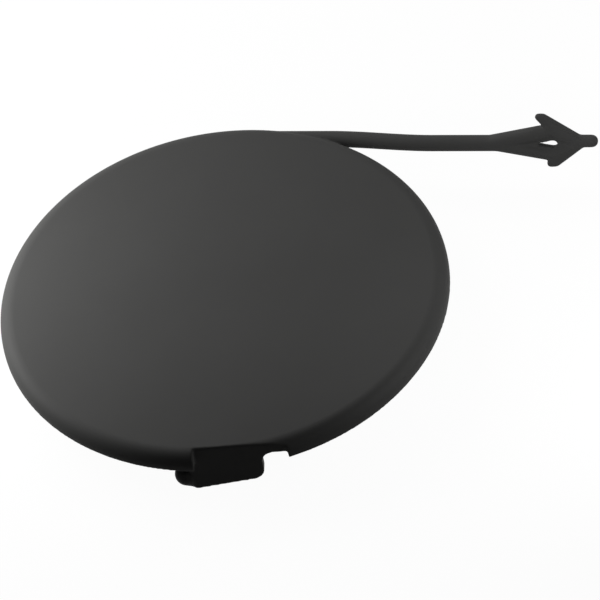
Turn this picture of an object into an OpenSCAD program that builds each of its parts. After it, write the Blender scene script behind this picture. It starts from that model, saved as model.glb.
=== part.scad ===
// Round snap-in cover for a towing eye, moulded in one piece with its tether.
// Frame: z = 0 is the plane of the rim's lower edge, which seats on the bumper, and +Z points out of it.
// The disc's axis is the Z axis, the tether runs towards +X along the disc's +Y side,
// and the latch tab hangs at the -Y side.

/* [Disc] */
// Outer diameter of the disc
disc_d = 68; // [60:1:80]
// Height of the rim, from its lower edge to the outer face
rim_h = 3; // [2.8:0.1:4]
// Radius of the rim's rounded outer edge
edge_r = 2.2; // [1.5:0.1:2.7]
// Thickness of the plate behind the outer face
plate_t = 2.2; // [1.8:0.1:2.4]
// Thickness of the turned-down rim wall
rim_wall = 2; // [1.4:0.1:2.4]

/* [Latch side] */
// Direction of the latch from the disc's centre, in degrees from +X
latch_angle = -84; // [-100:1:-70]
// Depth of the flat recess in the rim at the latch
recess_depth = 2.1; // [1.6:0.1:2.2]
// Width of the latch tab
tab_w = 11; // [8:0.5:13]
// Reach of the tab below the outer face, at its longer side
tab_drop = 8.8; // [7.6:0.1:10]
// How much shorter the other side of the tab is
tab_slant = 1.1; // [0:0.1:1.6]
// Thickness of the tab
tab_t = 1.8; // [1.4:0.1:2.2]
// Width of the pry notch beside the tab
notch_w = 4.1; // [3:0.1:5]
// Radius of the rounded catch on the tab's side
catch_r = 1.8; // [1.5:0.1:2]

/* [Tether] */
// Diameter of the tether
tether_d = 2.5; // [2:0.1:2.8]
// Reach of the tether's nose from the disc's centre
tether_reach = 53.2; // [50:0.1:60]
// Sideways sag of the tether between its root and its anchor
tether_sag = 0.9; // [0.3:0.1:1.5]
// Tilt of the anchor's flat plane about the tether, in degrees
anchor_tilt = 75; // [0:5:90]
// Reach of the longer barb from the tether's axis
barb_reach = 4.4; // [3.5:0.1:5]
// Thickness of the anchor at its barbs
anchor_t = 2.2; // [1.8:0.1:2.4]

/* [Underside] */
// Outer diameter of the locating collar
collar_d = 57; // [52:1:58]
// Depth of the collar below the rim's lower edge
collar_drop = 2.5; // [1.5:0.1:4]
// Thickness of the collar and of the ribs
collar_t = 1.4; // [1.2:0.1:1.8]
// Height of the stiffening ribs under the plate
rib_h = 1.8; // [1:0.1:2.5]
// Reach of the fixed hooks' lips beyond the collar
lip_reach = 2; // [1.2:0.1:2.5]

/* [Hidden] */
$fn = 96;
eps = 0.01;
plastic = [0.2, 0.2, 0.2];

disc_r = disc_d / 2;
plate_z = rim_h - plate_t;
collar_r = collar_d / 2;
tab_z = rim_h - tab_drop;

// The latch has its own axes: u along the rim, v outwards, with v = 0 on the recess's flat.
flat_v = disc_r - recess_depth;
tab_left = -4.8;
tab_right = tab_left + tab_w;
notch_right = tab_right + notch_w;
recess_left = tab_left + 1;
wall_cut = 0.3;

// The hooks are two stretches of the collar on the side across from the latch.
hook_spread = 24;
hook_arc = 14;
hook_t = 1.6;
hook_step = 0.2;
lip_t = 1.5;

tether_r = tether_d / 2;
tether_z = tether_r;
tether_y = disc_r - tether_r - 0.3;
root_x = 3;
bend_x = 12;
bend_run = 16;
anchor_len = 15.5;
anchor_x = tether_reach - anchor_len;
leg_x = 7.6;
leg_y = 1.8;
leg_rise = 0.15;
heel_x = leg_x + 1.45;
heel_dip = 0.2;
shoulder_x = 12.3;
web_t = 1;
nose_r = anchor_t / 2 - 0.12;
nose_x = anchor_len - nose_r;

// Points of an arc about a centre, from angle a0 to a1 in n steps.
function arc(c, r, a0, a1, n = 12) =
    [for (i = [0 : n]) let (a = a0 + (a1 - a0) * i / n) c + r * [cos(a), sin(a)]];

module at_latch() {
    rotate([0, 0, latch_angle + 90]) translate([0, -flat_v, 0]) children();
}

// One half of the disc's section: the flat plate, the rounded edge and the turned-down wall.
module disc_section() {
    difference() {
        union() {
            square([disc_r - edge_r, rim_h]);
            square([disc_r, rim_h - edge_r]);
            translate([disc_r - edge_r, rim_h - edge_r]) circle(edge_r);
        }
        translate([-disc_d, -disc_d]) square([disc_d, 2 * disc_d]);
        translate([-1, -disc_d]) square([disc_d, disc_d]);
        translate([-1, -1]) square([disc_r - rim_wall + 1, plate_z + 1]);
    }
}

// The recess is cut through the rim at the latch. The wall behind it goes too, so only the plate's
// edge is left there.
module disc() {
    recess_w = notch_right - recess_left;
    wall_v = flat_v - sqrt(pow(disc_r - rim_wall, 2) - pow(notch_right, 2)) + wall_cut;
    color(plastic) difference() {
        rotate_extrude() disc_section();
        at_latch() {
            translate([recess_left, -2 * recess_depth, -1]) cube([recess_w, 2 * recess_depth, rim_h + 2]);
            translate([recess_left, -recess_depth, -1]) cube([recess_w, recess_depth + wall_v, plate_z + 1]);
        }
    }
}

// Outline of the tab in its own plane: slanted foot, round corners and a fillet up to the plate.
module tab_outline() {
    corner = 1.9;
    fillet = 1.9;
    toe_r = 0.7;
    top_step = 0.2;
    left_foot = tab_z + toe_r;
    right_foot = tab_z + tab_slant;
    top = rim_h - top_step;
    polygon(concat(
        [[tab_left, top], [tab_left, left_foot]],
        arc([tab_left + toe_r, left_foot], toe_r, 180, 275),
        arc([tab_right - corner, right_foot + corner], corner, 275, 360),
        [[tab_right, plate_z - fillet]],
        arc([tab_right + fillet, plate_z - fillet], fillet, 180, 90),
        [[tab_right + fillet, top]]
    ));
}

// The catch is a rounded nub that swells from the tab's longer side.
module catch() {
    nub = [tab_left - 0.8, 1.3, tab_z + catch_r + 0.35];
    toe = [tab_left + 0.1, 0.9, tab_z + 0.95];
    toe_r = 0.9;
    hull() {
        translate(nub) sphere(catch_r, $fn = 32);
        translate(toe) sphere(toe_r, $fn = 32);
    }
}

module latch_tab() {
    gusset_t = 1.2;
    gusset_run = 2.6;
    gusset_foot = tab_z + 3.5;
    inset = 1.6;
    color(plastic) at_latch() {
        rotate([90, 0, 0]) translate([0, 0, -tab_t]) linear_extrude(tab_t) tab_outline();
        catch();
        for (u = [tab_left + inset, tab_right - inset - gusset_t])
            translate([u, tab_t - eps, 0]) rotate([90, 0, 90]) linear_extrude(gusset_t)
                polygon([[0, plate_z + eps], [gusset_run, plate_z + eps], [0, gusset_foot]]);
    }
}

// The collar runs round from one side of the latch to the other.
module collar() {
    gap = 32;
    color(plastic) rotate([0, 0, latch_angle + gap / 2]) rotate_extrude(angle = 360 - gap)
        translate([collar_r - collar_t, -collar_drop]) square([collar_t, collar_drop + plate_z + eps]);
}

module hook() {
    foot = tab_z;
    color(plastic) rotate([0, 0, -hook_arc / 2]) rotate_extrude(angle = hook_arc)
        polygon([
            [collar_r - hook_t, plate_z + eps],
            [collar_r + hook_step, plate_z + eps],
            [collar_r + hook_step, foot + lip_t],
            [collar_r + lip_reach, foot + lip_t],
            [collar_r + lip_reach, foot + lip_t / 2],
            [collar_r + lip_reach / 4, foot],
            [collar_r - hook_t, foot]
        ]);
}

module hooks() {
    for (side = [-1, 1]) rotate([0, 0, latch_angle + 180 + side * hook_spread]) hook();
}

module ribs() {
    reach = collar_r - collar_t / 2;
    color(plastic) intersection() {
        for (turn = [0 : 60 : 120]) rotate([0, 0, latch_angle + turn])
            translate([-reach, -collar_t / 2, plate_z - rib_h]) cube([2 * reach, collar_t, rib_h + eps]);
        translate([0, 0, -rim_h]) cylinder(r = reach, h = 2 * rim_h);
    }
}

// Sideways place of the tether's centre: along the rim's tangent first, then it drifts in by its sag.
function tether_path(x) =
    let (f = min(1, max(0, (x - bend_x) / bend_run)))
    tether_y - tether_sag * f * f * (3 - 2 * f);

// A round bar swept along the path, with a ring of points at each step.
module tether() {
    rings = 18;
    sides = 12;
    run = anchor_x + eps - root_x;
    points = [for (i = [0 : rings], j = [0 : sides - 1])
        let (x = root_x + run * i / rings, a = 360 * j / sides)
        [x, tether_path(x) + tether_r * cos(a), tether_z + tether_r * sin(a)]];
    skin = [for (i = [0 : rings - 1], j = [0 : sides - 1])
        let (k = (j + 1) % sides)
        [i * sides + j, (i + 1) * sides + j, (i + 1) * sides + k, i * sides + k]];
    root_end = [for (j = [0 : sides - 1]) j];
    anchor_end = [for (j = [0 : sides - 1]) rings * sides + sides - 1 - j];
    color(plastic) polyhedron(points, concat(skin, [root_end, anchor_end]), convexity = 4);
}

// One side of the arrow: a leg beside the eye and a swept-back barb, both drawn for the +Y side.
module barb(reach, spread, sweep, tip_r, lift) {
    leg_r = anchor_t / 2;
    hull() {
        sphere(tether_r, $fn = 24);
        translate([leg_x, spread, 0]) sphere(leg_r, $fn = 24);
    }
    hull() {
        translate([leg_x - sweep, reach, 0]) sphere(tip_r, $fn = 24);
        translate([heel_x, spread - heel_dip, 0]) sphere(leg_r, $fn = 24);
        translate([shoulder_x, lift, 0]) sphere(nose_r, $fn = 24);
    }
}

// A thin web fills the space between the legs, and the eye is a small teardrop through it.
module web() {
    translate([0, 0, -web_t / 2]) linear_extrude(web_t)
        polygon([
            [0, 0],
            [leg_x, -leg_y],
            [heel_x, -leg_y],
            [shoulder_x, 0],
            [heel_x, leg_y],
            [leg_x, leg_y]
        ]);
}

// The arrow that snaps into the bumper: two legs that end in barbs, a web with the eye, and a round nose.
module anchor() {
    eye_r = 0.6;
    eye_x = 8.5;
    eye_tail_x = 5.4;
    nose_lift = 0.32;
    color(plastic) translate([anchor_x, tether_y - tether_sag, tether_z]) rotate([anchor_tilt, 0, 0])
        difference() {
            union() {
                barb(barb_reach, leg_y + leg_rise, sweep = 0.75, tip_r = 0.75, lift = 0.3);
                mirror([0, 1, 0]) barb(barb_reach - 1, leg_y, sweep = -0.45, tip_r = 0.85, lift = 0);
                web();
                translate([shoulder_x, nose_lift, 0]) rotate([0, 90, 0])
                    cylinder(r = nose_r, h = nose_x - shoulder_x);
                translate([nose_x, nose_lift, 0]) sphere(nose_r);
            }
            translate([0, 0, -tether_d]) linear_extrude(2 * tether_d) {
                translate([eye_x, 0]) circle(eye_r);
                polygon([[eye_tail_x, 0], [eye_x, -eye_r], [eye_x, eye_r]]);
            }
        }
}

module tow_hook_cover() {
    union() {
        disc();
        latch_tab();
        collar();
        hooks();
        ribs();
        tether();
        anchor();
    }
}

tow_hook_cover();
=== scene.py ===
# %% [markdown]
# A tow hook cover, moulded in one piece
#
# The object is a round plastic cap that snaps over the opening of a towing eye. A thin tether with an
# arrow on its end keeps it from getting lost. Everything is one shot of black plastic. It could be
# modelled as one mesh from the start, but separate forms are easier to measure and to change. So this
# lesson builds each form by itself, melts them into one skin, and gives that skin one finish.

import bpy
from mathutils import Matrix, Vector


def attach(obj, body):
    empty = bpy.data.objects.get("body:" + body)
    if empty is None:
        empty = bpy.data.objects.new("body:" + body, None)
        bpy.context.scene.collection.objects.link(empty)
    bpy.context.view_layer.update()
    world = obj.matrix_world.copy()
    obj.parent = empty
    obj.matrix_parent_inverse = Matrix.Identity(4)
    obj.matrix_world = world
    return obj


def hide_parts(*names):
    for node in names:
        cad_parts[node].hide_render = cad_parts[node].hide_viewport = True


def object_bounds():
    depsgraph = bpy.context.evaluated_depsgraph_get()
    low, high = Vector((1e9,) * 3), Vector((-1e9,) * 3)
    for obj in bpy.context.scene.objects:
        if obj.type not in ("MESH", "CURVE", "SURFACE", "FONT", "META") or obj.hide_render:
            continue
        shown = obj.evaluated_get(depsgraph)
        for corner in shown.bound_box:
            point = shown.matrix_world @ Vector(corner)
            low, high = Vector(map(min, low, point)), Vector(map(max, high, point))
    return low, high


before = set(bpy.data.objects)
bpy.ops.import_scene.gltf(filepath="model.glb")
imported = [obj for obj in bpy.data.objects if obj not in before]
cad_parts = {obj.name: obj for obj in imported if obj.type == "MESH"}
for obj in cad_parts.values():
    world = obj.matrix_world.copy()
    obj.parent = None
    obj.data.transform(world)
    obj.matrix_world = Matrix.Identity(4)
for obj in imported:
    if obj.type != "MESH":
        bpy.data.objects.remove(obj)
cad_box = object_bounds()
print("the CAD model's box:", [tuple(round(c, 4) for c in corner) for corner in cad_box])

# %% [markdown]
# Units
#
# The real cap is 68 mm across, and its walls are 1 to 2 mm thick. Such a moulding is easier to draw in
# millimetres than in metres, and large numbers keep Blender's merge distances and its decimation well
# away from rounding errors. So all forms are made with one Blender unit to the millimetre, and the
# finished skin is brought to metres once, at the end.

# %% Tools and units
import math

import bmesh
import bpy
from mathutils import Matrix, Vector

MM = 0.001
scene = bpy.context.scene
print("one millimetre is", MM, "metres")

# %% [markdown]
# A helper for node trees
#
# Some forms follow a rule: a section turned about an axis, a bar repeated round it, a strap along a
# path. Geometry Nodes make them from a few named sizes, which stay easy to change. Built in a script,
# a tree takes many lines, so this helper adds a node, its values and its links in one. Each tree ends
# in the same two nodes: Realize Instances, because the export drops instances, and Set Material.


# %% Node tree helper
class Tree:
    """A Geometry Nodes group that is built one node to a line."""

    KINDS = {float: "NodeSocketFloat", int: "NodeSocketInt", bool: "NodeSocketBool"}

    def __init__(self, name, **inputs):
        """Each input is given as its first value, or else as the name of its socket's type."""
        self.group = bpy.data.node_groups.new(name, "GeometryNodeTree")
        sockets = self.group.interface
        sockets.new_socket("Geometry", in_out="OUTPUT", socket_type="NodeSocketGeometry")
        for label, value in inputs.items():
            is_type = isinstance(value, str)
            kind = "NodeSocket" + value if is_type else self.KINDS[type(value)]
            made = sockets.new_socket(label, in_out="INPUT", socket_type=kind)
            if not is_type:
                made.default_value = value
        self.given = self.group.nodes.new("NodeGroupInput").outputs
        print("the tree", name, "takes", ", ".join(inputs))

    def add(self, kind, ins=(), **settings):
        """Adds a node; ins gives each input a value, or the output that feeds it."""
        node = self.group.nodes.new(kind)
        for name, value in settings.items():
            setattr(node, name, value)
        for socket, value in dict(ins).items():
            if isinstance(value, bpy.types.NodeSocket):
                self.group.links.new(value, node.inputs[socket])
            else:
                node.inputs[socket].default_value = value
        return node

    def calculate(self, operation, first, second=0.0):
        return self.add("ShaderNodeMath", {0: first, 1: second}, operation=operation).outputs[0]

    def close(self, geometry, material):
        """Adds the nodes that every tree ends in."""
        real = self.add("GeometryNodeRealizeInstances", {"Geometry": geometry})
        dress = {"Geometry": real.outputs[0], "Material": material}
        dressed = self.add("GeometryNodeSetMaterial", dress)
        out = self.group.nodes.new("NodeGroupOutput")
        self.group.links.new(dressed.outputs[0], out.inputs[0])


# %% [markdown]
# From modifiers to plain meshes
#
# A finished piece carries no nodes, only faces. The first two helpers run a tree or another
# modifier once and keep what comes out. An input is set by its socket's identifier, since two sockets
# may share a name. The third helper closes the seams that sweeping leaves and turns all faces
# outwards. It prints how many edges are still open: none on a closed form.


# %% Mesh helpers
def settled(carrier):
    """Turns an object and what its modifiers do into a plain mesh."""
    graph = bpy.context.evaluated_depsgraph_get()
    mesh = bpy.data.meshes.new_from_object(carrier.evaluated_get(graph))
    carrier.modifiers.clear()
    carrier.data = mesh
    return carrier


def run_tree(tree, name, start=None, **values):
    """Runs a tree on a mesh and gives the result as a plain mesh object."""
    carrier = bpy.data.objects.new(name, start or bpy.data.meshes.new(name))
    scene.collection.objects.link(carrier)
    modifier = carrier.modifiers.new("nodes", "NODES")
    modifier.node_group = tree.group
    for item in tree.group.interface.items_tree:
        if item.in_out == "INPUT" and item.name in values:
            modifier[item.identifier] = values[item.name]
    return settled(carrier)


MERGE_DISTANCE = 0.001


def tidy(piece):
    """Merges doubled points and turns every face outwards."""
    work = bmesh.new()
    work.from_mesh(piece.data)
    bmesh.ops.remove_doubles(work, verts=work.verts, dist=MERGE_DISTANCE)
    bmesh.ops.recalc_face_normals(work, faces=work.faces)
    open_edges = sum(1 for e in work.edges if len(e.link_faces) != 2)
    volume = round(work.calc_volume(), 1)
    work.to_mesh(piece.data)
    work.free()
    faces = len(piece.data.polygons)
    print(piece.name, "has", faces, "faces,", open_edges, "open edges,", volume, "mm3")
    return piece


plastic = bpy.data.materials.new("black_moulded_plastic")
print("every tree sets the material", plastic.name, "and its finish is made further down")

# %% [markdown]
# Turned forms: the disc, the collar and the hooks
#
# The disc, the locating collar under it and the two fixed hooks are round about the same axis. They
# could be cylinders with parts cut out, but one section, turned, gives the rounded edge and the thin
# wall at once. The tree takes the section as a closed loop, drawn as radius and height, and sweeps it
# along an arc. A full turn uses a circle instead, so no seam is left.

# %% Turning tree
turning = Tree("turned_section", Section="Object", Radius=1.0, Start=0.0, Sweep=360.0, Steps=256,
               Whole=True, Plastic="Material")
given = turning.given
loop = turning.add("GeometryNodeObjectInfo", {"Object": given["Section"]})
section = turning.add("GeometryNodeMeshToCurve", {"Mesh": loop.outputs["Geometry"]})
size = {"Resolution": given["Steps"], "Radius": given["Radius"]}
circle = turning.add("GeometryNodeCurvePrimitiveCircle", size)
angles = {
    "Start Angle": turning.calculate("RADIANS", given["Start"]),
    "Sweep Angle": turning.calculate("RADIANS", given["Sweep"]),
}
arc = turning.add("GeometryNodeCurveArc", {**size, **angles})
choice = {"Switch": given["Whole"], "False": arc.outputs[0], "True": circle.outputs[0]}
path = turning.add("GeometryNodeSwitch", choice, input_type="GEOMETRY")
level = turning.add("GeometryNodeSetCurveNormal", {"Curve": path.outputs[0]}, mode="Z_UP")
sweep = {"Curve": level.outputs[0], "Profile Curve": section.outputs[0], "Fill Caps": True}
swept = turning.add("GeometryNodeCurveToMesh", sweep)
turning.close(swept.outputs[0], given["Plastic"])
print("it has", len(turning.group.nodes), "nodes")


# %% Turned form
def turned_form(name, points, radius, **values):
    """Turns (radius, height) points about the axis; points that start on the axis stay an open line."""
    ring = bpy.data.meshes.new("section")
    edges = [(i, i + 1) for i in range(len(points) - 1)]
    if points[0][0] > 0:
        edges.append((len(points) - 1, 0))
    ring.from_pydata([(r - radius, -z, 0) for r, z in points], edges, [])
    loop = bpy.data.objects.new("section", ring)
    scene.collection.objects.link(loop)
    made = run_tree(turning, name, Section=loop, Radius=radius, Plastic=plastic, **values)
    bpy.data.objects.remove(loop)
    return tidy(made)


def rounded(centre, radius, first, last, steps):
    """Points of an arc, angles in degrees."""
    angles = [math.radians(first + (last - first) * i / steps) for i in range(steps + 1)]
    return [(centre[0] + radius * math.cos(a), centre[1] + radius * math.sin(a)) for a in angles]


quarter = rounded((0, 0), 1, 0, 90, 2)
print("a quarter circle in two steps:", [(round(x, 2), round(y, 2)) for x, y in quarter])

# %% [markdown]
# The disc
#
# The disc is what shows on the bumper: a flat plate, a rounded outer edge, and a short wall that turns
# down to the bumper's skin. A cylinder with a bevel would need its underside cut out afterwards. A
# section, from the axis out to the rim and back under the plate, has it all in a few points. Its sizes
# are the ones that the CAD source names.

# %% Disc
DISC_R = 34.0
RIM_H = 3.0
EDGE_R = 2.2
PLATE_T = 2.2
RIM_WALL = 2.0
PLATE_Z = RIM_H - PLATE_T

edge = rounded((DISC_R - EDGE_R, RIM_H - EDGE_R), EDGE_R, 90, 0, 16)
wall = [(DISC_R, 0), (DISC_R - RIM_WALL, 0), (DISC_R - RIM_WALL, PLATE_Z)]
disc_section = [(0, RIM_H), *edge, *wall, (0, PLATE_Z)]
disc = turned_form("disc", disc_section, DISC_R)

# %% [markdown]
# The latch side
#
# At the front the rim is cut away to a flat, and the latch tab hangs there. Beside the tab a notch
# stays open, for the tip of a screwdriver. The cuts have straight sides, so plain boxes take them out
# of the disc with Blender's exact Boolean, which is quicker and cleaner here than moving points. The
# boxes are drawn in the latch's own axes, along the rim, inwards and up, and then turned into place.

# %% Latch axes and cutters
LATCH_ANGLE = -84.0
RECESS = 2.1
FLAT_V = DISC_R - RECESS
at_latch = Matrix.Rotation(math.radians(LATCH_ANGLE + 90), 4, "Z") @ Matrix.Translation((0, -FLAT_V, 0))


def mesh_object(name, work, place=Matrix()):
    """An object from a bmesh, with its place put into the mesh."""
    mesh = bpy.data.meshes.new(name)
    work.to_mesh(mesh)
    work.free()
    mesh.transform(place)
    made = bpy.data.objects.new(name, mesh)
    scene.collection.objects.link(made)
    return made


def block(name, low, high, place=Matrix()):
    """A box between two corners, used as a cutter or as the start of a form."""
    work = bmesh.new()
    bmesh.ops.create_cube(work, size=1)
    size = Vector(high) - Vector(low)
    middle = (Vector(high) + Vector(low)) / 2
    return mesh_object(name, work, place @ Matrix.Translation(middle) @ Matrix.Diagonal((*size, 1)))


def cut(piece, cutter):
    """Takes the cutter's shape out of the piece."""
    modifier = piece.modifiers.new("cut", "BOOLEAN")
    modifier.operation = "DIFFERENCE"
    modifier.solver = "EXACT"
    modifier.object = cutter
    settled(piece)
    bpy.data.objects.remove(cutter)
    return piece


print("the flat lies", FLAT_V, "mm from the axis")

# %% Recess and pry notch
TAB_LEFT, TAB_RIGHT = -4.8, 6.2
NOTCH_W = 4.1
RECESS_INSET = 1.0
WALL_CUT = 0.3
# Cutters reach this far past the material, so that no thin face is left.
MARGIN = 1.0

notch_right = TAB_RIGHT + NOTCH_W
recess_left = TAB_LEFT + RECESS_INSET
wall_in = FLAT_V - math.sqrt((DISC_R - RIM_WALL) ** 2 - notch_right**2) + WALL_CUT
front = block("recess", (recess_left, -2 * RECESS, -MARGIN), (notch_right, 0, RIM_H + MARGIN), at_latch)
cut(disc, front)
behind = block("behind", (recess_left, -RECESS, -MARGIN), (notch_right, wall_in, PLATE_Z), at_latch)
cut(disc, behind)
tidy(disc)

# %% [markdown]
# The latch tab
#
# The tab is the tongue that bends and snaps behind the bumper's skin. It is flat, so it is drawn by its
# outline and given a thickness. An outline with real arcs in it keeps the round corners and the fillet
# beside the notch at their true radii, which bevelling a box wouldn't. Its foot slants, as in the
# photograph.

# %% Latch tab
TAB_DROP = 8.8
TAB_SLANT = 1.1
TAB_T = 1.8
TOE_R = 0.7
CORNER_R = 1.9
FILLET_R = 1.9
FOOT_ANGLE = 275
TOP_STEP = 0.2
TAB_Z = RIM_H - TAB_DROP


def plate(name, outline, thickness, place):
    """A flat outline in its x and y, thickened along its z."""
    work = bmesh.new()
    face = work.faces.new([work.verts.new((x, y, 0)) for x, y in outline])
    grown = bmesh.ops.extrude_face_region(work, geom=[face])
    moved = [v for v in grown["geom"] if isinstance(v, bmesh.types.BMVert)]
    bmesh.ops.translate(work, verts=moved, vec=(0, 0, thickness))
    return tidy(mesh_object(name, work, place))


upright = Matrix.Rotation(math.radians(90), 4, "X") @ Matrix.Translation((0, 0, -TAB_T))
tab_outline = [
    (TAB_LEFT, RIM_H - TOP_STEP),
    *rounded((TAB_LEFT + TOE_R, TAB_Z + TOE_R), TOE_R, 180, FOOT_ANGLE, 8),
    *rounded((TAB_RIGHT - CORNER_R, TAB_Z + TAB_SLANT + CORNER_R), CORNER_R, FOOT_ANGLE, 360, 16),
    *rounded((TAB_RIGHT + FILLET_R, PLATE_Z - FILLET_R), FILLET_R, 180, 90, 16),
    (TAB_RIGHT + FILLET_R, RIM_H - TOP_STEP),
]
tab = plate("tab", tab_outline, TAB_T, at_latch @ upright)

# %% [markdown]
# The catch and the gussets
#
# A rounded catch swells from the tab's left side, and two gussets stiffen the tab from behind. The
# catch has no flat face to draw, so it is the tight skin around two balls, a small one by the tab and a
# large one beside it. This is how a modeller thinks of a soft lump: where it is thick, and how thick.


# %% Catch
def hulled(name, balls, place, detail=40):
    """The tight skin around some balls, each given as x, y, z and radius."""
    ball = bmesh.new()
    bmesh.ops.create_uvsphere(ball, u_segments=detail, v_segments=detail // 2, radius=1)
    work = bmesh.new()
    for x, y, z, radius in balls:
        for point in ball.verts:
            work.verts.new(Vector((x, y, z)) + radius * point.co)
    ball.free()
    skin = bmesh.ops.convex_hull(work, input=work.verts)
    inner = [g for g in skin["geom_interior"] if isinstance(g, bmesh.types.BMVert)]
    bmesh.ops.delete(work, geom=inner, context="VERTS")
    return tidy(mesh_object(name, work, place))


# Both balls are measured from the tab's left foot: along the rim, inwards and up, then the radius.
CATCH_BALLS = [(-0.8, 1.3, 2.15, 1.8), (0.1, 0.9, 0.95, 0.9)]
catch = hulled("catch", [(TAB_LEFT + u, v, TAB_Z + z, r) for u, v, z, r in CATCH_BALLS], at_latch)

# %% Gussets
GUSSET_T = 1.2
GUSSET_RUN = 2.6
GUSSET_FOOT = 3.5
GUSSET_INSET = 1.6
# Forms reach this far into what carries them, so that no gap stays between them.
OVERLAP = 0.2

along = Matrix.Rotation(math.radians(90), 4, "Z") @ Matrix.Rotation(math.radians(90), 4, "X")
gusset_outline = [
    (-OVERLAP, PLATE_Z + OVERLAP),
    (GUSSET_RUN, PLATE_Z + OVERLAP),
    (GUSSET_RUN, PLATE_Z),
    (0, TAB_Z + GUSSET_FOOT),
    (-OVERLAP, TAB_Z + GUSSET_FOOT),
]
gussets = []
for u in (TAB_LEFT + GUSSET_INSET, TAB_RIGHT - GUSSET_INSET - GUSSET_T):
    gusset_place = at_latch @ Matrix.Translation((u, TAB_T, 0)) @ along
    gussets.append(plate("gusset", gusset_outline, GUSSET_T, gusset_place))

# %% [markdown]
# The underside
#
# The photograph doesn't show the underside, so it has what such covers have: a collar that locates
# the cap in the bumper's hole, two fixed hooks across from the latch that grip first, and ribs that
# keep the thin plate flat. The collar and the hooks are sections turned part of the way round, so the
# tree that made the disc makes them too.

# %% Collar
COLLAR_R = 28.5
COLLAR_T = 1.4
COLLAR_DROP = 2.5
COLLAR_GAP = 32.0

collar_section = [
    (COLLAR_R - COLLAR_T, PLATE_Z + OVERLAP),
    (COLLAR_R, PLATE_Z + OVERLAP),
    (COLLAR_R, -COLLAR_DROP),
    (COLLAR_R - COLLAR_T, -COLLAR_DROP),
]
collar = turned_form("collar", collar_section, COLLAR_R, Whole=False, Steps=220,
                     Start=LATCH_ANGLE + COLLAR_GAP / 2, Sweep=360 - COLLAR_GAP)

# %% Hooks
HOOK_ARC = 14.0
HOOK_SPREAD = 24.0
HOOK_T = 1.6
HOOK_STEP = 0.2
LIP = 2.0
LIP_T = 1.5

hook_section = [
    (COLLAR_R - HOOK_T, PLATE_Z + OVERLAP),
    (COLLAR_R + HOOK_STEP, PLATE_Z + OVERLAP),
    (COLLAR_R + HOOK_STEP, TAB_Z + LIP_T),
    (COLLAR_R + LIP, TAB_Z + LIP_T),
    (COLLAR_R + LIP, TAB_Z + LIP_T / 2),
    (COLLAR_R + LIP / 4, TAB_Z),
    (COLLAR_R - HOOK_T, TAB_Z),
]
hooks = []
for side in (-1, 1):
    hook_start = LATCH_ANGLE + 180 + side * HOOK_SPREAD - HOOK_ARC / 2
    hooks.append(turned_form("hook", hook_section, COLLAR_R, Whole=False, Steps=24,
                             Start=hook_start, Sweep=HOOK_ARC))

# %% [markdown]
# The ribs
#
# Three bars cross under the plate. They repeat by a rule, one bar turned about the axis in equal
# steps, so a tree makes the copies: it puts the bar on each point of a short row and turns each copy
# by its index. To have more ribs, only the count and the step change.

# %% Tree for turned copies
turning_copies = Tree("turned_copies", Bar="Object", Count=3, First=0.0, Step=60.0, Plastic="Material")
given = turning_copies.given
bar = turning_copies.add("GeometryNodeObjectInfo", {"Object": given["Bar"], "As Instance": True})
row = turning_copies.add("GeometryNodeMeshLine", {"Count": given["Count"], "Offset": (0, 0, 0)})
index = turning_copies.add("GeometryNodeInputIndex").outputs[0]
steps = turning_copies.calculate("MULTIPLY", index, given["Step"])
angle = turning_copies.calculate("ADD", given["First"], steps)
spin = turning_copies.add("ShaderNodeCombineXYZ", {"Z": turning_copies.calculate("RADIANS", angle)})
copying = {"Points": row.outputs[0], "Instance": bar.outputs["Geometry"], "Rotation": spin.outputs[0]}
copies = turning_copies.add("GeometryNodeInstanceOnPoints", copying)
turning_copies.close(copies.outputs[0], given["Plastic"])
print("it has", len(turning_copies.group.nodes), "nodes")

# %% Ribs
RIB_H = 1.8

rib_reach = COLLAR_R - COLLAR_T / 2
rib_low = (-rib_reach, -COLLAR_T / 2, PLATE_Z - RIB_H)
rib_high = (rib_reach, COLLAR_T / 2, PLATE_Z + OVERLAP)
one_rib = block("rib", rib_low, rib_high)
ribs = tidy(run_tree(turning_copies, "ribs", Bar=one_rib, First=LATCH_ANGLE, Plastic=plastic))
bpy.data.objects.remove(one_rib)

# %% [markdown]
# The tether
#
# The tether is a round strap that ties the cap to the bumper. It leaves the rim along its tangent and
# sags a little towards the middle of the part. It could be a hand-drawn curve with a bevel, but its
# path follows a rule, so the tree builds it from named sizes: a straight row of points, each moved
# sideways by a smooth step, with a circle swept along them.

# %% Tether tree
TETHER_R = 1.25
TETHER_INSET = 0.3
TETHER_Y = DISC_R - TETHER_R - TETHER_INSET
SAG = 0.9
ROOT_X = 3.0
BEND_X = 12.0
BEND_RUN = 16.0
ANCHOR_X = 37.7

strap = Tree("swept_tether", Start=ROOT_X, End=ANCHOR_X, Side=TETHER_Y, Sag=SAG, Bend=BEND_X,
             Run=BEND_RUN, Height=TETHER_R, Radius=TETHER_R, Steps=120, Sides=32, Plastic="Material")
given = strap.given
root_place = {"X": given["Start"], "Y": given["Side"], "Z": given["Height"]}
first = strap.add("ShaderNodeCombineXYZ", root_place)
last = strap.add("ShaderNodeCombineXYZ", {**root_place, "X": given["End"]})
ends = {"Start": first.outputs[0], "End": last.outputs[0]}
line = strap.add("GeometryNodeCurvePrimitiveLine", ends)
points = strap.add("GeometryNodeResampleCurve", {"Curve": line.outputs[0], "Count": given["Steps"]})
where = strap.add("ShaderNodeSeparateXYZ", {0: strap.add("GeometryNodeInputPosition").outputs[0]})
bend_end = strap.calculate("ADD", given["Bend"], given["Run"])
step = {"Value": where.outputs["X"], "From Min": given["Bend"], "From Max": bend_end,
        "To Min": 0.0, "To Max": given["Sag"]}
drift = strap.add("ShaderNodeMapRange", step, interpolation_type="SMOOTHSTEP")
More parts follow.
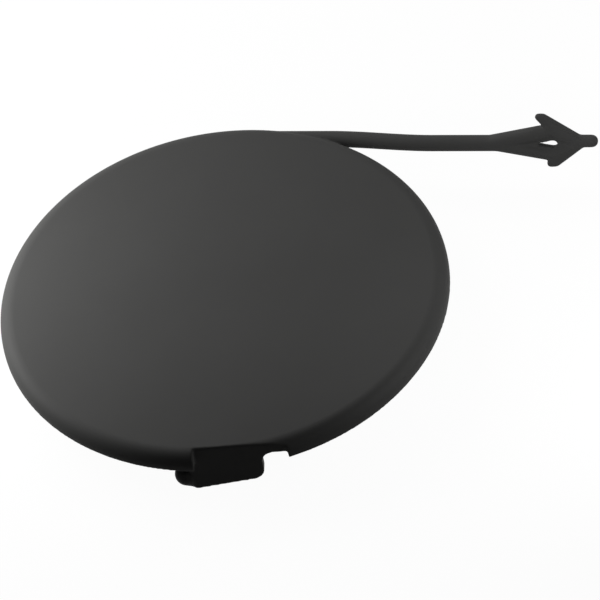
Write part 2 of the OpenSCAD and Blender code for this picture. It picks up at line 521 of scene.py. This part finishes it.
sideways = strap.add("ShaderNodeCombineXYZ", {"Y": strap.calculate("MULTIPLY", drift.outputs[0], -1.0)})
moves = {"Geometry": points.outputs[0], "Offset": sideways.outputs[0]}
bent = strap.add("GeometryNodeSetPosition", moves)
round_section = {"Resolution": given["Sides"], "Radius": given["Radius"]}
ring = strap.add("GeometryNodeCurvePrimitiveCircle", round_section)
sweep = {"Curve": bent.outputs[0], "Profile Curve": ring.outputs[0], "Fill Caps": True}
tube = strap.add("GeometryNodeCurveToMesh", sweep)
strap.close(tube.outputs[0], given["Plastic"])
print("it has", len(strap.group.nodes), "nodes")

# %% Tether
tether = tidy(run_tree(strap, "tether", Plastic=plastic))

# %% [markdown]
# The arrow
#
# The tether ends in an arrow that is pushed through a hole in the bumper and can't come back. Two
# round legs run apart and meet again at the nose, so the barbs can spring in, and a thin web fills the
# space between them. In the photograph the two barbs aren't alike: the upper one is longer, and both
# end blunt. Each leg and barb is the tight skin around a few balls, like the catch, because that gives
# tapered round bars whose places and radii can be read off one by one.

# %% Legs, barbs and nose
ANCHOR_TILT = 75.0
ANCHOR_LEN = 15.54
LEG_R = 1.1
NOSE_R = 0.98
NOSE_LIFT = 0.32
SHOULDER_X = 12.55
LEG_X, LEG_Y = 7.75, 1.8
HEEL_X = 9.2

# The balls of each form, as x, y and radius in the arrow's own plane. The legs start in the tether.
UPPER_LEG = [(-1.0, 0, TETHER_R), (LEG_X, 2.05, LEG_R)]
LOWER_LEG = [(0, 0, TETHER_R), (LEG_X, -LEG_Y, LEG_R)]
UPPER_BARB = [(6.75, 4.6, 0.55), (7.5, 4.6, 0.55), (9.7, 1.75, LEG_R), (SHOULDER_X, 0.3, NOSE_R)]
LOWER_BARB = [(7.9, -3.6, 0.6), (8.75, -3.55, 0.6), (HEEL_X, -1.6, LEG_R), (SHOULDER_X, 0, NOSE_R)]
NOSE = [(SHOULDER_X, NOSE_LIFT, NOSE_R), (ANCHOR_LEN - NOSE_R, NOSE_LIFT, NOSE_R)]

tilt = Matrix.Rotation(math.radians(ANCHOR_TILT), 4, "X")
at_anchor = Matrix.Translation((ANCHOR_X, TETHER_Y - SAG, TETHER_R)) @ tilt
arrow_parts = []
for balls in (UPPER_LEG, LOWER_LEG, UPPER_BARB, LOWER_BARB, NOSE):
    arrow_parts.append(hulled("arrow_part", [(x, y, 0, r) for x, y, r in balls], at_anchor))

# %% Web
WEB_T = 1.0

web_outline = [
    (0, 0),
    (LEG_X, -LEG_Y),
    (HEEL_X, -LEG_Y),
    (SHOULDER_X, 0),
    (HEEL_X, LEG_Y),
    (LEG_X, LEG_Y),
]
web = plate("web", web_outline, WEB_T, at_anchor @ Matrix.Translation((0, 0, -WEB_T / 2)))

# %% [markdown]
# One skin
#
# A moulding has no joints: where two forms meet, the mould leaves a small radius. A Boolean union would
# leave sharp creases there. So the forms are put into one mesh and remeshed on a fine grid, which melts
# them together. The arrow is melted first by itself, so that its small eye can be cut through one
# closed form and then gets round edges with the rest.

# %% Melt the forms together
VOXEL = 0.15
EYE_R = 0.6
EYE_X, EYE_TAIL_X = 8.7, 5.7
EYE_TURN = 105
EYE_DEPTH = 6


def joined(name, pieces):
    """Puts several meshes into one, without joining their faces."""
    work = bmesh.new()
    for piece in pieces:
        work.from_mesh(piece.data)
        bpy.data.objects.remove(piece)
    return mesh_object(name, work)


def remeshed(piece):
    """Melts what overlaps in a mesh into one closed skin."""
    modifier = piece.modifiers.new("melt", "REMESH")
    modifier.mode = "VOXEL"
    modifier.voxel_size = VOXEL
    return settled(piece)


arrow = remeshed(joined("arrow", [*arrow_parts, web]))
eye_outline = [(EYE_TAIL_X, 0), *rounded((EYE_X, 0), EYE_R, -EYE_TURN, EYE_TURN, 32)]
eye = plate("eye", eye_outline, EYE_DEPTH, at_anchor @ Matrix.Translation((0, 0, -EYE_DEPTH / 2)))
cut(arrow, eye)
cover = remeshed(joined("cover", [disc, tab, catch, *gussets, collar, *hooks, ribs, tether, arrow]))
print("the melted skin has", len(cover.data.polygons), "faces")

# %% [markdown]
# Softened edges
#
# The melted skin still has the hard edges of its forms, and small steps from the grid. Blur Attribute
# moves each point to the mean of its neighbours a few times, which rounds every edge by a few tenths
# of a millimetre and smooths the steps. A Bevel would need clean edges, which a remesh doesn't leave.
# Then flat stretches lose the triangles that they don't need, and the skin is brought to metres.

# %% Soften the edges
SOFT_STEPS = 4

soften = Tree("softened_skin", Skin="Geometry", Steps=SOFT_STEPS, Plastic="Material")
given = soften.given
spots = soften.add("GeometryNodeInputPosition").outputs[0]
blurred = soften.add("GeometryNodeBlurAttribute", data_type="FLOAT_VECTOR")
# This node has one pair of sockets for each type of data, and only the chosen type's are enabled.
value = [s for s in blurred.inputs if s.enabled and s.name == "Value"][0]
result = [s for s in blurred.outputs if s.enabled][0]
soften.group.links.new(spots, value)
soften.group.links.new(given["Steps"], blurred.inputs["Iterations"])
moved = soften.add("GeometryNodeSetPosition", {"Geometry": given["Skin"], "Position": result})
smooth = soften.add("GeometryNodeSetShadeSmooth", {"Geometry": moved.outputs[0]})
soften.close(smooth.outputs[0], given["Plastic"])
skin = run_tree(soften, "moulded_cover", cover.data, Plastic=plastic)
bpy.data.objects.remove(cover)
print("the softened skin has", len(skin.data.polygons), "faces")

# %% Thin the skin and bring it to metres
FACE_BUDGET = 190000

triangles = 2 * len(skin.data.polygons)
thin = skin.modifiers.new("thin", "DECIMATE")
thin.ratio = min(1.0, FACE_BUDGET / triangles)
settled(skin)
skin.data.transform(Matrix.Scale(MM, 4))
for polygon in skin.data.polygons:
    polygon.use_smooth = True
print("the skin has", len(skin.data.polygons), "faces, from", triangles, "triangles")

# %% [markdown]
# Black moulded plastic
#
# The real surface is satin: almost black and a shade warm, with no gloss. A picture of plastic could
# be laid over it, but it would stretch at the edges and show its tiles. Noise in the object's own
# coordinates has no seams, and the same scale everywhere. It gives a slow change of colour where the
# plastic flowed, a fine change of roughness, and the mould's grain as a bump.

# %% Plastic finish
DARK_TONE = (0.048, 0.048, 0.0469, 1)
PALE_TONE = (0.056, 0.056, 0.0548, 1)
FLOW_SCALE = 60
SHEEN_SCALE = 900
GRAIN_SCALE = 2600
ROUGH_LOW, ROUGH_HIGH = 0.5, 0.6
GRAIN_DEPTH = 0.02 * MM
GRAIN_STRENGTH = 0.25
GLOSS = 0.04
REFRACTION = 1.5

plastic.use_nodes = True
nodes, links = plastic.node_tree.nodes, plastic.node_tree.links
shader = nodes["Principled BSDF"]
shader.inputs["Specular IOR Level"].default_value = GLOSS
shader.inputs["IOR"].default_value = REFRACTION
spot = nodes.new("ShaderNodeTexCoord")


def noise(scale, detail):
    """Noise that is tied to the object, as a number from 0 to 1."""
    made = nodes.new("ShaderNodeTexNoise")
    made.inputs["Scale"].default_value = scale
    made.inputs["Detail"].default_value = detail
    links.new(spot.outputs["Object"], made.inputs["Vector"])
    return made.outputs["Fac"]


def between(tree, source, low, high):
    """Turns a number from 0 to 1 into one from low to high."""
    made = tree.nodes.new("ShaderNodeMapRange")
    made.inputs["To Min"].default_value = low
    made.inputs["To Max"].default_value = high
    tree.links.new(source, made.inputs["Value"])
    return made.outputs["Result"]


tone = nodes.new("ShaderNodeMix")
tone.data_type = "RGBA"
# A Mix node of colours takes its factor at input 0 and the colours at 6 and 7, and gives output 2.
tone.inputs[6].default_value = DARK_TONE
tone.inputs[7].default_value = PALE_TONE
links.new(noise(FLOW_SCALE, 3), tone.inputs[0])
links.new(tone.outputs[2], shader.inputs["Base Color"])
rough = between(plastic.node_tree, noise(SHEEN_SCALE, 2), ROUGH_LOW, ROUGH_HIGH)
links.new(rough, shader.inputs["Roughness"])
bump = nodes.new("ShaderNodeBump")
bump.inputs["Strength"].default_value = GRAIN_STRENGTH
bump.inputs["Distance"].default_value = GRAIN_DEPTH
links.new(noise(GRAIN_SCALE, 2), bump.inputs["Height"])
links.new(bump.outputs["Normal"], shader.inputs["Normal"])
print("the plastic has", len(nodes), "nodes")

# %% [markdown]
# Camera
#
# The photograph is taken from in front and well above, and the camera is tilted a little, so the
# part's up leans to the left. Nothing in it gets smaller with distance. An orthographic camera would
# do, but a real lens, very long and far away, gives the same picture and stays easy to shorten. The
# camera is built from its three axes, right, up and back, so that each angle has one plain meaning.

# %% Camera
VIEW_AZIMUTH = 15.7
VIEW_ELEVATION = 46.44
VIEW_ROLL = 11.56
LENS = 1000.0
SENSOR = 36.0
FRAME_WIDTH = 89.87 * MM
SHIFT_RIGHT = 11.56 * MM
SHIFT_UP = -1.54 * MM
NEAR, FAR = 0.1, 10.0


def camera_axes(azimuth, elevation, roll):
    """Right, up and back of a camera that looks at the part from that side."""
    a, e, r = math.radians(azimuth), math.radians(elevation), math.radians(roll)
    back = Vector((math.sin(a) * math.cos(e), -math.cos(a) * math.cos(e), math.sin(e)))
    level = Vector((math.cos(a), math.sin(a), 0))
    upright = back.cross(level)
    right = level * math.cos(r) - upright * math.sin(r)
    return right, back.cross(right), back


right, up, back = camera_axes(VIEW_AZIMUTH, VIEW_ELEVATION, VIEW_ROLL)
distance = FRAME_WIDTH * LENS / SENSOR
lens = bpy.data.cameras.new("long_lens")
lens.lens = LENS
lens.sensor_width = SENSOR
lens.clip_start = NEAR
lens.clip_end = FAR
face_centre = Vector((0, 0, RIM_H)) * MM
aim = face_centre + right * SHIFT_RIGHT + up * SHIFT_UP
turn = Matrix((right, up, back)).transposed().to_4x4()
camera = bpy.data.objects.new("camera", lens)
camera.matrix_world = Matrix.Translation(aim + back * distance) @ turn
scene.collection.objects.link(camera)
scene.camera = camera
print("the camera stands", round(distance, 2), "m away")

# %% [markdown]
# Floor and backdrop
#
# The part lies on a plain pale floor, and the photograph's background is pure white. Bright lamps
# would whiten the floor, but they would also grey the part. So the Light Path node tells rays apart:
# the camera sees floor and backdrop nearly white, and so do mirror and glass rays, while the light
# that the floor sends back to the part stays low. The walls that face the camera are almost black in
# the photograph. Part of the floor's colour is still lit, so the part keeps its shadow there.


# %% Floor paper
FLOOR_GLOW = 0.965
FLOOR_SEEN = 0.95
FLOOR_BOUNCE = 0.2


def seen_rays(tree):
    """1 for rays from the camera, a gloss or a glass, 0 for the light that surfaces share."""
    path = tree.nodes.new("ShaderNodeLightPath")
    total = path.outputs["Is Camera Ray"]
    for name in ("Is Glossy Ray", "Is Transmission Ray"):
        larger = tree.nodes.new("ShaderNodeMath")
        larger.operation = "MAXIMUM"
        tree.links.new(total, larger.inputs[0])
        tree.links.new(path.outputs[name], larger.inputs[1])
        total = larger.outputs[0]
    return total


paper = bpy.data.materials.new("pale_floor")
paper.use_nodes = True
tree = paper.node_tree
seen = seen_rays(tree)
lit = tree.nodes["Principled BSDF"]
lit.inputs["Roughness"].default_value = 1.0
lit.inputs["Specular IOR Level"].default_value = 0.0
tree.links.new(between(tree, seen, FLOOR_BOUNCE, FLOOR_SEEN), lit.inputs["Base Color"])
glow = tree.nodes.new("ShaderNodeEmission")
mixed = tree.nodes.new("ShaderNodeMixShader")
tree.links.new(between(tree, seen, 0.0, FLOOR_GLOW), mixed.inputs[0])
tree.links.new(lit.outputs[0], mixed.inputs[1])
tree.links.new(glow.outputs[0], mixed.inputs[2])
tree.links.new(mixed.outputs[0], tree.nodes["Material Output"].inputs["Surface"])
print("the floor's paper has", len(tree.nodes), "nodes")

# %% Floor
FLOOR_GAP = 0.02 * MM
FLOOR_SIZE = 1.5

work = bmesh.new()
bmesh.ops.create_grid(work, x_segments=1, y_segments=1, size=FLOOR_SIZE)
floor = mesh_object("floor", work, Matrix.Translation((0, 0, cad_box[0].z - FLOOR_GAP)))
floor.data.materials.append(paper)
print("the floor lies at", round(floor.data.vertices[0].co.z, 4), "m")

# %% World
AMBIENT = 0.0
BACKDROP = 1.0

world = bpy.data.worlds.new("studio")
scene.world = world
world.use_nodes = True
tree = world.node_tree
sky = tree.nodes["Background"]
sky.inputs["Color"].default_value = (1, 1, 1, 1)
tree.links.new(between(tree, seen_rays(tree), AMBIENT, BACKDROP), sky.inputs["Strength"])
scene.view_settings.view_transform = "Standard"
print("the shared light of the room is", AMBIENT)

# %% [markdown]
# Lamps
#
# In the photograph the light comes from the left and fades towards the right, and hardly any reaches
# the walls in front. A large soft box behind and above lights the face, and a smaller one low on the
# left brightens its left edge. Two small ones, to the right of the arrow and behind it, keep its legs
# from going flat. Area lamps are used because their size sets how soft the light is.


# %% Soft boxes
def softbox(name, place, aim, size, power):
    """A square area lamp, in metres and watts, that faces a point."""
    lamp = bpy.data.lights.new(name, "AREA")
    lamp.size = size
    lamp.energy = power
    made = bpy.data.objects.new(name, lamp)
    away = Vector(place) - Vector(aim)
    facing = away.to_track_quat("Z", "Y").to_matrix().to_4x4()
    made.matrix_world = Matrix.Translation(Vector(place)) @ facing
    scene.collection.objects.link(made)
    print(name, "stands", round(away.length, 2), "m away")


arrow_spot = (0.046, 0.031, 0)
softbox("left_softbox", place=(-0.07, -0.002, 0.03), aim=(-0.02, 0, 0), size=0.04, power=0.058)
softbox("back_softbox", place=(-0.09, 0.11, 0.09), aim=(0, 0, 0), size=0.10, power=0.225)
softbox("right_softbox", place=(0.075, -0.02, 0.03), aim=arrow_spot, size=0.03, power=0.024)
softbox("rear_softbox", place=(0.07, 0.06, 0.04), aim=arrow_spot, size=0.03, power=0.009)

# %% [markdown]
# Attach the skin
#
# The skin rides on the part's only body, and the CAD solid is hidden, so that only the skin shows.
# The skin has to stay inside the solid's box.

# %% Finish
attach(skin, "root")
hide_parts("tow_hook_cover")
